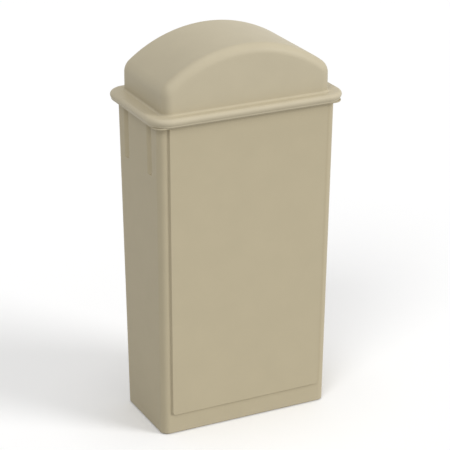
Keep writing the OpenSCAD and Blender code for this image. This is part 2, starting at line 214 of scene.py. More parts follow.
class Skin:
    """Mesh grown from rings of points in millimetres, joined by strips of faces."""

    def __init__(self) -> None:
        """Starts an empty mesh with a layer that says how worn each point is."""
        self.bm = bmesh.new()
        self.wear = self.bm.verts.layers.float.new("edge_wear")

    def ring(self, points: Iterable[Point], wear: Wear = Wear.NONE) -> Ring:
        """Adds a ring of points.

        Args:
            points: the points in millimetres.
            wear: how worn they are.

        Returns:
            The new vertices, in order.
        """
        made = [self.bm.verts.new(Vector(p) * MM) for p in points]
        for vert in made:
            vert[self.wear] = wear.value
        return made

    def strip(self, first: Ring, second: Ring, closed: bool = True) -> None:
        """Joins two rings of equal length with quads.

        Args:
            first: one ring.
            second: the other ring.
            closed: whether the quads go all the way round.
        """
        count = len(first)
        for i in range(count if closed else count - 1):
            j = (i + 1) % count
            self.bm.faces.new((first[i], first[j], second[j], second[i]))

    def stack(self, rings: Sequence[Ring], closed: bool = True) -> None:
        """Joins ring after ring."""
        for first, second in zip(rings, rings[1:]):
            self.strip(first, second, closed)

    def cone(self, ring: Ring, tip: bmesh.types.BMVert) -> None:
        """Joins a ring to a tip with triangles."""
        for i, vert in enumerate(ring):
            self.bm.faces.new((vert, ring[(i + 1) % len(ring)], tip))

    def fan(self, ring: Ring, centre: Point) -> None:
        """Closes a ring with triangles round a new point."""
        self.cone(ring, self.ring([centre])[0])

    def fill(self, *loops: Ring) -> None:
        """Fills the flat area inside the first loop and outside the others.

        Args:
            loops: closed loops of vertices in one plane.
        """
        edges = []
        for loop in loops:
            for i, vert in enumerate(loop):
                pair = (vert, loop[(i + 1) % len(loop)])
                edges.append(self.bm.edges.get(pair) or self.bm.edges.new(pair))
        bmesh.ops.triangle_fill(self.bm, use_beauty=True, use_dissolve=False, edges=edges)

    def lathe(
        self, profile: Sequence[Flat], centre: Point, axis: Axis, steps: int = 48
    ) -> None:
        """Adds a profile turned round an axis, closed where it doesn't start on the axis.

        Args:
            profile: (radius, distance along the axis) pairs. A radius of 0 is on the axis.
            centre: where distance 0 lies.
            axis: where distance grows.
            steps: number of steps round.
        """
        along, sign = axis.value
        rings: list[Ring] = []
        for radius, distance in profile:
            place = list(centre)
            place[along] += sign * distance
            points = []
            for k in range(steps if radius else 1):
                turn = 2 * math.pi * k / steps
                spot = list(place)
                spot[1 - along] += radius * math.cos(turn)
                spot[2] += radius * math.sin(turn)
                points.append(tuple(spot))
            rings.append(self.ring(points))
        if profile[0][0]:
            rings.append(rings[0])
        for first, second in zip(rings, rings[1:]):
            if len(first) == 1:
                self.cone(second, first[0])
            elif len(second) == 1:
                self.cone(first, second[0])
            else:
                self.strip(first, second)

    def build(self, name: str) -> Piece:
        """Turns the mesh into an object.

        Args:
            name: the object's name.

        Returns:
            The object, with its faces pointing outwards.
        """
        bmesh.ops.recalc_face_normals(self.bm, faces=self.bm.faces)
        mesh = bpy.data.meshes.new(name)
        self.bm.to_mesh(mesh)
        self.bm.free()
        return add_object(name, mesh)


def rounded_profile(corners: Sequence[Flat], radius: float, steps: int = 3) -> list[Flat]:
    """Rounds the corners of a closed profile.

    Args:
        corners: the corners in order.
        radius: radius of the rounding.
        steps: steps in each rounding.

    Returns:
        The points of the rounded profile.
    """
    made: list[Flat] = []
    for i, corner in enumerate(corners):
        here = Vector(corner)
        before = (Vector(corners[i - 1]) - here).normalized()
        after = (Vector(corners[(i + 1) % len(corners)]) - here).normalized()
        half = before.angle(after) / 2
        centre = here + (before + after).normalized() * (radius / math.sin(half))
        start = here + before * (radius / math.tan(half)) - centre
        end = here + after * (radius / math.tan(half)) - centre
        made += [tuple(centre + start.slerp(end, t)) for t in shares(steps)]
    return made


def even_normals(piece: Piece, weight: int = 50) -> None:
    """Shades a piece smooth, with normals that follow its larger faces.

    Args:
        piece: the piece.
        weight: how strongly they follow them, 50 being plain.
    """
    piece.data.polygons.foreach_set("use_smooth", [True] * len(piece.data.polygons))
    weighted = piece.modifiers.new("even_normals", "WEIGHTED_NORMAL")
    weighted.keep_sharp, weighted.weight = True, weight


def shade(piece: Piece, angle: float = 40) -> None:
    """Shades a piece smooth, but keeps edges sharper than an angle in degrees crisp."""
    even_normals(piece, 60)
    piece.data.set_sharp_from_angle(angle=math.radians(angle))


def unite(piece: Piece, others: Sequence[Piece]) -> None:
    """Fuses other meshes into a piece and removes them.

    Args:
        piece: the piece that stays.
        others: the meshes that go into it.
    """
    for other in others:
        fuse = piece.modifiers.new("fuse", "BOOLEAN")
        fuse.operation, fuse.solver, fuse.object = "UNION", "EXACT", other
    graph = bpy.context.evaluated_depsgraph_get()
    fused = bpy.data.meshes.new_from_object(piece.evaluated_get(graph))
    piece.modifiers.clear()
    piece.data = fused
    for other in others:
        bpy.data.objects.remove(other)


def soften(
    piece: Piece, width: float, weld_gap: float = 0.005, flat: float = 1,
    crisp: float = 40,
) -> None:
    """Rounds the edges of a frame node by modifiers alone.

    Args:
        piece: the node's object.
        width: width of the rounding in millimetres.
        weld_gap: points closer than this, in millimetres, become one.
        flat: faces that turn by less than this, in degrees, become one.
        crisp: edges sharper than this, in degrees, are rounded.
    """
    weld = piece.modifiers.new("weld", "WELD")
    weld.merge_threshold = weld_gap * MM
    join = piece.modifiers.new("join_flats", "DECIMATE")
    join.decimate_type, join.angle_limit = "DISSOLVE", math.radians(flat)
    bevel = piece.modifiers.new("edge", "BEVEL")
    bevel.width, bevel.segments = width * MM, 3
    bevel.limit_method, bevel.angle_limit = "ANGLE", math.radians(crisp)
    even_normals(piece)


# ---------------------------------------------------------------- finishes


def linear(code: str) -> tuple[float, float, float, float]:
    """Turns an sRGB hex colour such as "#bab097" into linear light."""
    parts = [int(code[i : i + 2], 16) / 255 for i in (1, 3, 5)]
    return (*(c / 12.92 if c <= 0.04045 else ((c + 0.055) / 1.055) ** 2.4 for c in parts), 1.0)


def feed(tree: Tree, node: bpy.types.Node, inputs: dict[Any, Any]) -> None:
    """Sets or links a node's inputs.

    Args:
        tree: the node's tree.
        node: the node.
        inputs: socket name or number, with a value or the output socket that feeds it.
    """
    for key, value in inputs.items():
        if isinstance(value, bpy.types.NodeSocket):
            tree.links.new(value, node.inputs[key])
        else:
            node.inputs[key].default_value = value


def add_node(
    tree: Tree, kind: str, inputs: dict[Any, Any] | None = None, **settings: Any
) -> bpy.types.Node:
    """Adds a shader node.

    Args:
        tree: node tree to add to.
        kind: Blender's name of the node type.
        inputs: what feed() is to set or link.
        settings: the node's own settings.

    Returns:
        The new node.
    """
    node = tree.nodes.new(kind)
    for key, value in settings.items():
        setattr(node, key, value)
    feed(tree, node, inputs or {})
    return node


def new_material(name: str) -> tuple[bpy.types.Material, Tree, bpy.types.Node]:
    """Starts a node material.

    Args:
        name: the material's name.

    Returns:
        The material, its empty tree and its Principled shader, already on the output.
    """
    material = bpy.data.materials.new(name)
    material.use_nodes = True
    tree = material.node_tree
    tree.nodes.clear()
    shader = add_node(tree, "ShaderNodeBsdfPrincipled")
    add_node(tree, "ShaderNodeOutputMaterial", {"Surface": shader.outputs["BSDF"]})
    return material, tree, shader


def per_metre(size: float) -> float:
    """Texture scale that makes a pattern about size millimetres wide."""
    return 1 / (size * MM)


@dataclass(frozen=True)
class MouldedPlastic:
    """Beige polyethylene or nylon, injection moulded in a lightly blasted mould.

    To the eye: an even satin body colour with broad soft highlights, a faint mottle where the
    melt flowed, a fine grain, and edges that handling has polished a little paler.
    """

    name: str
    colour: str
    roughness: float = 0.47
    ior: float = 1.50
    sheen: float = 0.15  # the blasted surface scatters most of its mirror reflection
    mottle: float = 70.0  # the cloudiness of the melt
    dark: float = 0.985
    bright: float = 1.015
    grain: float = 1.6  # real blast grain is 0.3 mm, drawn coarser so that it shows
    grain_depth: float = 0.12  # real blast grain is 0.01 mm deep, drawn deeper so that it shows
    scuff: float = 9.0  # width of the patches that handling rubbed
    hairline: float = 2.25  # spacing of its hairline marks
    upright: Point = (1.0, 1.0, 0.18)  # the marks are drawn out along Z
    uneven: float = 0.035  # how far they change the roughness, up and down
    polish: Point = (0.03, 0.03, 0.035)  # linear light that the most worn edges gain

    def material(self) -> bpy.types.Material:
        """Builds the material.

        Returns:
            The material.
        """
        material, tree, shader = new_material(self.name)
        node = partial(add_node, tree)
        place = node("ShaderNodeTexCoord").outputs["Object"]
        mottle = node("ShaderNodeTexNoise", {
            "Vector": place, "Scale": per_metre(self.mottle), "Detail": 3.0, "Roughness": 0.55})
        tone = node("ShaderNodeMapRange", {
            "Value": mottle.outputs["Fac"], "From Min": NOISE_LOW, "From Max": NOISE_HIGH,
            "To Min": self.dark, "To Max": self.bright})
        body = node("ShaderNodeVectorMath", {
            0: linear(self.colour)[:3], "Scale": tone.outputs["Result"]}, operation="SCALE")
        worn = node("ShaderNodeAttribute", attribute_name="edge_wear")
        rub = node("ShaderNodeTexNoise", {
            "Vector": place, "Scale": per_metre(self.scuff), "Detail": 5.0, "Roughness": 0.7})
        rubbed = node("ShaderNodeMath", {
            0: worn.outputs["Fac"], 1: rub.outputs["Fac"]}, operation="MULTIPLY")
        paler = node("ShaderNodeVectorMath", {
            0: body.outputs[0], 1: self.polish}, operation="ADD")
        colour = node("ShaderNodeMix", {
            0: rubbed.outputs[0], 6: body.outputs[0], 7: paler.outputs[0]}, data_type="RGBA")
        stretched = node("ShaderNodeMapping", {"Vector": place, "Scale": self.upright})
        hairlines = node("ShaderNodeTexNoise", {
            "Vector": stretched.outputs[0], "Scale": per_metre(self.hairline), "Detail": 4.0,
            "Roughness": 0.75})
        rough = node("ShaderNodeMapRange", {
            "Value": hairlines.outputs["Fac"], "From Min": NOISE_LOW, "From Max": NOISE_HIGH,
            "To Min": self.roughness - self.uneven, "To Max": self.roughness + self.uneven})
        grain = node("ShaderNodeTexNoise", {
            "Vector": place, "Scale": per_metre(self.grain), "Detail": 2.0})
        bump = node("ShaderNodeBump", {
            "Height": grain.outputs["Fac"], "Strength": 0.5, "Distance": self.grain_depth * MM})
        feed(tree, shader, {
            "Base Color": colour.outputs[2], "Roughness": rough.outputs["Result"],
            "Normal": bump.outputs["Normal"], "IOR": self.ior, "Specular IOR Level": self.sheen})
        return material


@dataclass(frozen=True)
class DrawnMetal:
    """Metal drawn or rolled to shape, with fine lines along one direction.

    To the eye: a grey mirror broken up by hairlines, and small dull patches where it was handled.
    """

    name: str
    colour: str
    roughness: float
    line: float = 0.8  # real draw lines are under 0.1 mm, drawn coarser so that they show
    line_depth: float = 0.02
    along: Point = (0.06, 1.0, 1.0)  # the lines are drawn out along the axis with the least
    dark: float = 0.93
    bright: float = 1.04
    patch: float = 14.0  # width of the patches that handling dulled
    clean: float = 0.35
    dull: float = 0.65
    polish: float = 0.05
    tarnish: float = 0.08

    def material(self) -> bpy.types.Material:
        """Builds the material.

        Returns:
            The material.
        """
        material, tree, shader = new_material(self.name)
        node = partial(add_node, tree)
        place = node("ShaderNodeTexCoord").outputs["Object"]
        drawn = node("ShaderNodeMapping", {"Vector": place, "Scale": self.along})
        lines = node("ShaderNodeTexNoise", {
            "Vector": drawn.outputs[0], "Scale": per_metre(self.line), "Detail": 4.0})
        patches = node("ShaderNodeTexNoise", {
            "Vector": place, "Scale": per_metre(self.patch), "Detail": 3.0})
        rough = node("ShaderNodeMapRange", {
            "Value": patches.outputs["Fac"], "From Min": self.clean, "From Max": self.dull,
            "To Min": self.roughness - self.polish, "To Max": self.roughness + self.tarnish})
        tone = node("ShaderNodeMapRange", {
            "Value": lines.outputs["Fac"], "From Min": NOISE_LOW, "From Max": NOISE_HIGH,
            "To Min": self.dark, "To Max": self.bright})
        body = node("ShaderNodeVectorMath", {
            0: linear(self.colour)[:3], "Scale": tone.outputs["Result"]}, operation="SCALE")
        bump = node("ShaderNodeBump", {
            "Height": lines.outputs["Fac"], "Strength": 0.3, "Distance": self.line_depth * MM})
        feed(tree, shader, {
            "Base Color": body.outputs[0], "Roughness": rough.outputs["Result"],
            "Normal": bump.outputs["Normal"], "Metallic": 1.0})
        return material


@dataclass(frozen=True)
class MouldedRubber:
    """Nitrile rubber, moulded, with a dry bloom.

    To the eye: near black and dull, greyer where the bloom has come out.
    """

    name: str
    colour: str
    bloom: str
    roughness: float = 0.8
    patch: float = 2.5
    depth: float = 0.05

    def material(self) -> bpy.types.Material:
        """Builds the material.

        Returns:
            The material.
        """
        material, tree, shader = new_material(self.name)
        place = add_node(tree, "ShaderNodeTexCoord").outputs["Object"]
        patches = add_node(tree, "ShaderNodeTexNoise", {
            "Vector": place, "Scale": per_metre(self.patch), "Detail": 4.0}).outputs["Fac"]
        colour = add_node(tree, "ShaderNodeMix", {
            0: patches, 6: linear(self.colour), 7: linear(self.bloom)}, data_type="RGBA")
        bump = add_node(tree, "ShaderNodeBump", {
            "Height": patches, "Strength": 0.4, "Distance": self.depth * MM})
        feed(tree, shader, {
            "Base Color": colour.outputs[2], "Roughness": self.roughness,
            "Normal": bump.outputs["Normal"]})
        return material


class Finish(Enum):
    """The finishes of the object's pieces."""

    CONTAINER = MouldedPlastic("moulded_polyethylene_container", "#b6ab90")
    # The hood's colour is a little paler and bluer than the container's, though both are the one
    # polyethylene: painted light, for the whiter sheen on the dome's upper faces.
    HOOD = MouldedPlastic("moulded_polyethylene_hood", "#bab097", mottle=60.0)
    # The door copies the hood's colour, painted sheen included.
    DOOR = MouldedPlastic("moulded_polyethylene_door", "#bab096", roughness=0.5)
    BRACKET = MouldedPlastic("moulded_nylon", "#b3a88d", roughness=0.42, ior=1.53, mottle=25.0)
    STEEL = DrawnMetal("zinc_plated_steel", "#c6c9cd", 0.34)
    ALUMINIUM = DrawnMetal("turned_aluminium", "#d3d4d6", 0.38, along=(1.0, 0.1, 1.0))
    RUBBER = MouldedRubber("nitrile_rubber", "#191919", "#2c2b2a")


@cache
def material_of(finish: Finish) -> bpy.types.Material:
    """Material of a finish, made once."""
    return finish.value.material()


def dress(piece: Piece, finish: Finish, slot: str, body: str, *nodes: str) -> None:
    """Gives a piece its finish, and hangs a piece that stands for frame nodes on their body and
    hides those nodes.

    Args:
        piece: the piece.
        finish: its finish.
        slot: the record's material slot; not used.
        body: the body that it moves with.
        nodes: frame nodes that it replaces, or none where it is a frame node itself.
    """
    piece.data.materials.clear()
    piece.data.materials.append(material_of(finish))
    if nodes:
        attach(piece, body)
        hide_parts(*nodes)
    LOG.info("%s: %s, on body %s", piece.name, finish.value.name, body)


def node_box(node: str) -> tuple[Vector, Vector]:
    """Lowest and highest corner of a frame node, in millimetres."""
    low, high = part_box(node)
    return low / MM, high / MM


# ---------------------------------------------------------------- container


@dataclass
class Container:
    """Tapered container: raised panels on the long sides, flutes on the ends, a stepped rim."""

    base: Plan = Plan(227.0, 111.5, 20.0)
    top: Plan = Plan(235.0, 126.5, 20.0)
    wall_h: float = 812.0
    wall: float = 3.2
    floor_t: float = 4.0
    floor_r: float = 6.0
    base_r: float = 2.0
    base_band: float = 9.0  # height at which the wear of the base's edge fades out
    foot_w: float = 16.0
    foot_in: float = 2.5
    foot_gap: float = 2.5
    foot_h: float = 2.0
    edge: float = 0.8
    panel_raise: float = 5.5
    panel_edge: float = 24.8
    panel_z: float = 53.0
    panel_r: float = 8.0
    step_foot: float = 1.8
    step_crest: float = 0.9
    flute_y: float = 67.0
    flute_w: float = 30.0
    flute_d: float = 8.0
    flute_len: float = 134.0
    rim_t: float = 3.5
    rim_r: float = 25.0
    seat_r: float = 42.5
    seat_lift: float = 0.01  # keeps the seat's foot off the rim's face
    under_r: float = 1.6
    under_share: float = 0.14  # way that the round under the rim goes towards its edge
    corner_n: int = 14
    flute_n: int = 20
    flute_end_n: int = 12
    step_n: int = 7
    panel_n: int = 6
    base_n: int = 5
    floor_n: int = 6
    edge_n: int = 4

    def wall_plan(self, z: float, inset: float) -> Plan:
        """Plan of the wall at a height, inset from its outer face."""
        t = z / self.wall_h
        return Plan(
            mix(self.base.half_x, self.top.half_x, t) - inset,
            mix(self.base.half_y, self.top.half_y, t) - inset,
            self.base.radius - inset,
        )

    def flute_share(self, z: float) -> float:
        """How deep the flutes are at a height, as a share of their full depth."""
        rise = (z - self.wall_h + self.flute_len) / (self.flute_w / 2)
        return 0.0 if rise <= 0 else 1.0 if rise >= 1 else math.sqrt(1 - (1 - rise) ** 2)

    def panel_line(self, half_x: float, z: float, inset: float) -> list[Flat]:
        """Half of the step round a raised panel, in plan.

        Args:
            half_x: half length of the wall at this height.
            z: height.
            inset: depth inside the outer face.

        Returns:
            (distance from the middle, height of the step) from the step's foot to its crest.
        """
        reach = half_x - self.panel_edge + self.step_foot
        low = self.panel_z + inset - self.step_foot / 2
        span = self.step_foot + self.step_crest
        reached = min(1.0, max(0.0, (z - low) / span))
        line = []
        for share in shares(self.step_n):
            held = min(share, reached)
            radius = self.panel_r + self.step_foot - held * span
            gap = max(0.0, radius - (z - low - held * span))
            pull = radius - math.sqrt(max(0.0, radius * radius - gap * gap))
            line.append((reach - pull - share * span, self.panel_raise * smooth(held)))
        return line

    def outline(self, plan: Plan, z: float, line: Sequence[Flat], depth: float) -> list[Point]:
        """Ring round the container.

        Args:
            plan: plan of the wall.
            z: height.
            line: half of the panels' step, from panel_line.
            depth: depth of the flutes.

        Returns:
            Points clockwise from above, from the front left corner.
        """

        def flute(side_x: int, side_y: int) -> list[Flat]:
            """Points across one flute."""
            across = [-side_x * (2 * t - 1) for t in shares(self.flute_n)]
            return [
                (
                    side_x * (plan.half_x - depth * (1 + math.cos(math.pi * u)) / 2),
                    side_y * self.flute_y + u * self.flute_w / 2,
                )
                for u in across
            ]

        def panel(side_y: int) -> list[Flat]:
            """Points along one long side, from left to right at the back.

            Args:
                side_y: 1 for the back, -1 for the front.

            Returns:
                The points.
            """
            left = [(-x, side_y * (plan.half_y + up)) for x, up in line]
            right = [(-x, y) for x, y in left[::-1]]
            return left + right if side_y > 0 else (left + right)[::-1]

        flat = (
            plan.corner(-1, -1, self.corner_n, False)
            + flute(-1, -1)
            + flute(-1, 1)
            + plan.corner(-1, 1, self.corner_n, True)
            + panel(1)
            + plan.corner(1, 1, self.corner_n, False)
            + flute(1, 1)
            + flute(1, -1)
            + plan.corner(1, -1, self.corner_n, True)
            + panel(-1)
        )
        return [(x, y, z) for x, y in flat]

    def wall_ring(self, z: float, inset: float) -> list[Point]:
        """Ring of the wall.

        Args:
            z: height.
            inset: depth inside the outer face.

        Returns:
            The ring's points.
        """
        plan = self.wall_plan(z, inset)
        depth = self.flute_d * self.flute_share(z + inset)
        return self.outline(plan, z, self.panel_line(plan.half_x, z, inset), depth)

    def plain_ring(self, plan: Plan, z: float) -> list[Point]:
        """Ring with neither panels nor flutes; the step's points stay clear of its corners.

        Args:
            plan: plan of the ring.
            z: height.

        Returns:
            The ring's points.
        """
        reaches = [x for x, _ in self.panel_line(plan.half_x, 0.0, 0.0)]
        over = max(0.0, reaches[0] + self.step_foot - (plan.half_x - plan.radius))
        return self.outline(plan, z, [(x - over, 0.0) for x in reaches], 0.0)

    def wall_heights(self, inset: float) -> tuple[list[float], list[float]]:
        """Heights at which the wall's outline changes.

        Args:
            inset: depth inside the outer face.

        Returns:
            The heights in the panels' lower edge, and those in the flutes' lower ends.
        """
        low = self.panel_z + inset - self.step_foot / 2
        span = self.step_foot + self.step_crest
        round_top = low + self.panel_r + self.step_foot
        flute_low = self.wall_h - self.flute_len - inset
        panel = [low + span * t for t in shares(self.step_n)]
        panel += [mix(low + span, round_top, t) for t in shares(self.panel_n)[1:]]
        return panel, [flute_low + up for up, _ in quarter(self.flute_w / 2, self.flute_end_n)]

    def build(self) -> None:
        """Builds and dresses the container."""
        high = node_box("container")[1]
        rim = Plan(high.x, high.y, self.rim_r)
        seat = Plan(high.x, high.y, self.seat_r)
        seat_z, rim_z = high.z, self.wall_h + self.rim_t
        body = self.wall_plan(0, 0).grown(-self.base_r)
        foot = body.grown(-self.foot_in)
        edge = quarter(self.edge, self.edge_n)
        skin = Skin()
        rings: list[Ring] = []

        def plain(plan: Plan, z: float, wear: Wear = Wear.NONE) -> None:
            """Adds a ring with neither panels nor flutes."""
            rings.append(skin.ring(self.plain_ring(plan, z), wear))

        plain(foot.grown(-self.foot_w - self.foot_h), self.foot_h)
        plain(foot.grown(-self.foot_w), 0, Wear.UNDERSIDE)
        plain(foot.grown(-self.edge), 0, Wear.UNDERSIDE)
        plain(foot, self.edge, Wear.UNDERSIDE)
        plain(foot, self.foot_gap, Wear.UNDERSIDE)
        for gone, left in quarter(self.base_r, self.base_n):
            plain(body.grown(self.base_r - left), self.foot_gap + gone, Wear.EDGE)
        plain(self.wall_plan(self.base_band, 0), self.base_band, Wear.BASE)
        panel, flute = self.wall_heights(0)
        for z in [*panel, self.wall_h / 2, *flute, self.wall_h - self.under_r]:
            rings.append(skin.ring(self.wall_ring(z, 0)))
        head = self.wall_ring(self.wall_h, 0)
        ceiling = self.plain_ring(rim.grown(-self.edge), self.wall_h)
        for gone, left in quarter(self.under_r, self.edge_n)[1:]:
            part = mix_rings(head, ceiling, self.under_share * gone / self.under_r)
            rings.append(skin.ring([(x, y, z - left) for x, y, z in part]))
        for gone, left in edge:
            plain(rim.grown(-left), self.wall_h + gone, Wear.RIM)
        for gone, left in edge:
            plain(rim.grown(-gone), rim_z - left, Wear.RIM)
        plain(seat.grown(-2 * self.edge), rim_z + self.seat_lift)
        plain(seat.grown(-self.edge), rim_z + 2 * self.edge)
        for gone, left in edge:
            plain(seat.grown(-self.edge - gone), seat_z - left, Wear.INNER)
        for gone, left in edge:
            plain(seat.grown(left - self.wall), seat_z - gone, Wear.INNER)
        plain(seat.grown(-self.wall), self.wall_h + self.wall)
        panel, flute = self.wall_heights(self.wall)
        for z in [self.wall_h - self.wall, *flute[::-1], *panel[::-1]]:
            rings.append(skin.ring(self.wall_ring(z, self.wall)))
        floor_plan = self.wall_plan(self.floor_t, self.wall)
        for gone, left in quarter(self.floor_r, self.floor_n):
            plain(floor_plan.grown(-gone), self.floor_t + left)
        skin.stack(rings)
        skin.fan(rings[0], (0, 0, self.foot_h))
        skin.fan(rings[-1], (0, 0, self.floor_t))
        piece = skin.build("container_shell")
        shade(piece)
        dress(piece, Finish.CONTAINER, "container_plastic", "container", "container")


# ---------------------------------------------------------------- hood and mouth


@dataclass(frozen=True)
class MouthShape:
    """Upright outline of the mouth: level below and above, upright at the ends, with a round
    of its own about a point on the Z axis over its shoulders."""

    half: float
    low: float
    top: float
    round_r: float
    round_z: float
    corner_n: int = 8
    side_n: int = 4
    round_n: int = 20
    shoulder_n: int = 6

    def loop(self, grow: float, corner: float) -> list[Flat]:
        """Outline grown by a distance.

        Args:
            grow: how far the outline moves outwards.
            corner: radius of its corners.

        Returns:
            (x, z) points, anticlockwise seen from -Y, from the bottom right corner.
        """
        inset = corner - grow
        x, radius = self.half - inset, self.round_r - inset
        low, top = self.low + inset, self.top - inset
        side_z = self.round_z + math.sqrt(radius**2 - x**2)
        top_x = math.sqrt(radius**2 - (top - self.round_z) ** 2)
        first = math.atan2(side_z - self.round_z, x)
        last = math.atan2(top - self.round_z, top_x)

        def arc(cx: float, cz: float, r: float, start: float, end: float, n: int) -> list[Flat]:
            """Points along an arc."""
            turns = [mix(start, end, t) for t in shares(n)]
            return [(cx + r * math.cos(a), cz + r * math.sin(a)) for a in turns]

        right = (
            arc(x, low, corner, -RIGHT_ANGLE, 0, self.corner_n)
            + arc(x, side_z, corner, 0, first, self.side_n)[1:]
            + arc(0, self.round_z, radius + corner, first, last, self.round_n)[1:]
            + arc(top_x, top, corner, last, RIGHT_ANGLE, self.shoulder_n)[1:]
        )
        return right + [(-a, b) for a, b in right[::-1]]


@dataclass
class DomeHood:
    """Hood: a skirt with a bead, a ledge, and a dome that is an arch pulled front to back."""

    wall: float = 3.0
    edge: float = 0.8
    skirt_r: float = 47.5
    bead_r: float = 9.0
    bead_out: float = 3.6
    ledge_side: float = 33.0
    ledge_front: float = 22.4
    foot_r: float = 6.0
    shoulder_h: float = 48.2
    shoulder_r: float = 38.0
    dome_r: float = 24.0
    mouth_side: float = 48.0
    mouth_low: float = 25.0
    mouth_strip: float = 14.0
    mouth_r: float = 10.0
    hinge_up: float = 12.0
    seat_step: float = 4.0
    lining_r: float = 2.0
    lining_cut: float = 0.6
    edge_n: int = 4
    cove_n: int = 8
    foot_n: int = 8
    corner_n: int = 14
    arc_n: int = 28
    shoulder_n: int = 14
    bead_n: int = 20

    def __post_init__(self) -> None:
        """Works out the places of the hood's forms from the frame."""
        low, high = node_box("dome_hood")
        self.seat_z = node_box("container")[1].z
        self.apex_z, self.skirt_z = high.z, low.z
        self.skirt = Plan(high.x - self.bead_out, high.y - self.bead_out, self.skirt_r)
        self.dome = Plan(
            self.skirt.half_x - self.ledge_side, self.skirt.half_y - self.ledge_front, self.dome_r
        )
        self.bead_z = self.seat_z + self.wall - self.bead_r
        self.foot_z = self.seat_z + self.wall + self.foot_r
        self.shoulder_x = self.dome.half_x - self.shoulder_r
        self.shoulder_z = self.seat_z + self.shoulder_h
        rise = self.apex_z - self.shoulder_z
        self.arc_r = (self.shoulder_x**2 + rise**2 - self.shoulder_r**2) / (
            2 * (rise - self.shoulder_r)
        )
        self.arc_z = self.apex_z - self.arc_r
        self.arc_a = math.atan2(self.shoulder_x, self.shoulder_z - self.arc_z)
        hinge = next(j for j in frame["joints"] if j["name"] == "door_swing")["pos_m"]
        self.hinge_y, self.hinge_z = hinge[1] / MM, hinge[2] / MM
        self.mouth = MouthShape(
            self.dome.half_x - self.mouth_side,
            self.seat_z + self.mouth_low,
            self.hinge_z - self.hinge_up,
            self.arc_r - self.dome_r - self.mouth_strip,
            self.arc_z,
        )

    def arch(self, inset: float) -> list[Flat]:
        """Profile of the dome across its length.

        Args:
            inset: depth inside the outer surface.

        Returns:
            (x, z) points from the left foot to the right foot.
        """
        half = []
        for t in shares(self.arc_n)[:-1]:
            turn = self.arc_a * t
            reach = self.arc_r - inset
            half.append((reach * math.sin(turn), self.arc_z + reach * math.cos(turn)))
        for t in shares(self.shoulder_n):
            turn = mix(self.arc_a, RIGHT_ANGLE, t)
            reach = self.shoulder_r - inset
            x = self.shoulder_x + reach * math.sin(turn)
            half.append((x, self.shoulder_z + reach * math.cos(turn)))
        return [(-x, z) for x, z in half[:0:-1]] + half

    def foot_rings(self, skin: Skin, radius: float) -> list[Ring]:
        """Rings of the hollow between the ledge and the dome.

        Args:
            skin: mesh to add to.
            radius: radius of the hollow.

        Returns:
            The rings, from the ledge up.
        """
        rings = []
        for t in shares(self.foot_n):
            turn = (1 - t) * RIGHT_ANGLE
            plan = self.dome.grown(self.foot_r - radius * math.cos(turn))
            z = self.foot_z - radius * math.sin(turn)
            rings.append(skin.ring(plan.ring(z, self.corner_n)))
        return rings

    def vault(self, skin: Skin, foot: Ring, inset: float) -> tuple[Ring, Ring]:
        """Dome's skin above its foot.

        Args:
            skin: mesh to add to.
            foot: the topmost ring of the foot.
            inset: depth inside the outer surface.

        Returns:
            The loops round the flat front face and the flat back face.
        """
        radius = self.dome_r - inset
        half_y = self.dome.half_y - inset
        front = [
            (-(half_y - radius + radius * math.cos(a)), inset + radius * (1 - math.sin(a)))
            for a in (t * RIGHT_ANGLE for t in shares(self.corner_n))
        ]
        stations = front + [(-y, depth) for y, depth in front[::-1]]
        rows: list[Ring] = []
        for s, (y, depth) in enumerate(stations):
            inner = skin.ring([(x, y, z) for x, z in self.arch(depth)], Wear.VAULT)
            rows.append([foot[s], *inner, foot[len(foot) - 1 - s]])
        skin.stack(rows, closed=False)
        return rows[0], rows[-1]

    def mouth_loop(self, skin: Skin, y: float, grow: float, wear: Wear) -> Ring:
        """Loop of the mouth's edge at a depth."""
        loop = self.mouth.loop(grow, self.mouth_r + grow)
        return skin.ring([(x, y, z) for x, z in loop], wear)

    def build(self) -> None:
        """Builds and dresses the hood."""
        skin = Skin()
        edge = quarter(self.edge, self.edge_n)
        bead = self.skirt.grown(self.bead_out - self.bead_r)
        cove_z = self.skirt_z + self.edge
        cove_h = self.bead_z - cove_z
        cove_r = (self.bead_out**2 + cove_h**2) / (2 * self.bead_out) - self.bead_r
        cove_a = math.asin(cove_h / (cove_r + self.bead_r))

        def ring(plan: Plan, z: float, wear: Wear = Wear.NONE) -> Ring:
            """Adds one ring of the hood."""
            return skin.ring(plan.ring(z, self.corner_n), wear)

        rings = [ring(self.skirt.grown(-left), self.skirt_z + gone, Wear.EDGE)
                 for gone, left in edge]
        for t in shares(self.cove_n)[1:]:
            turn = cove_a * t
            plan = self.skirt.grown(cove_r * (1 - math.cos(turn)))
            rings.append(ring(plan, cove_z + cove_r * math.sin(turn)))
        for t in shares(self.bead_n)[1:]:
            turn = mix(-cove_a, RIGHT_ANGLE, t)
            plan = bead.grown(self.bead_r * math.cos(turn))
            wear = Wear.BEAD if turn > 0 else Wear.UNDERSIDE
            rings.append(ring(plan, self.bead_z + self.bead_r * math.sin(turn), wear))
        rings += self.foot_rings(skin, self.foot_r)
        skin.stack(rings)
        front, back = self.vault(skin, rings[-1], 0)
        skin.fill(front)

        inside = self.skirt.grown(-self.wall)
        lining = [ring(inside.grown(left), self.skirt_z + gone, Wear.INNER)
                  for gone, left in edge]
        skin.strip(lining[0], rings[0])
        lining.append(ring(inside, self.seat_z - self.lining_r))
        lining.append(ring(inside.grown(-self.lining_cut), self.seat_z - self.lining_cut))
        lining.append(ring(inside.grown(-self.lining_r), self.seat_z))
        lining.append(ring(inside.grown(-self.lining_r - self.seat_step), self.seat_z))
        lining += self.foot_rings(skin, self.foot_r + self.wall)
        skin.stack(lining)
        front_in, back_in = self.vault(skin, lining[-1], self.wall)
        skin.fill(front_in)

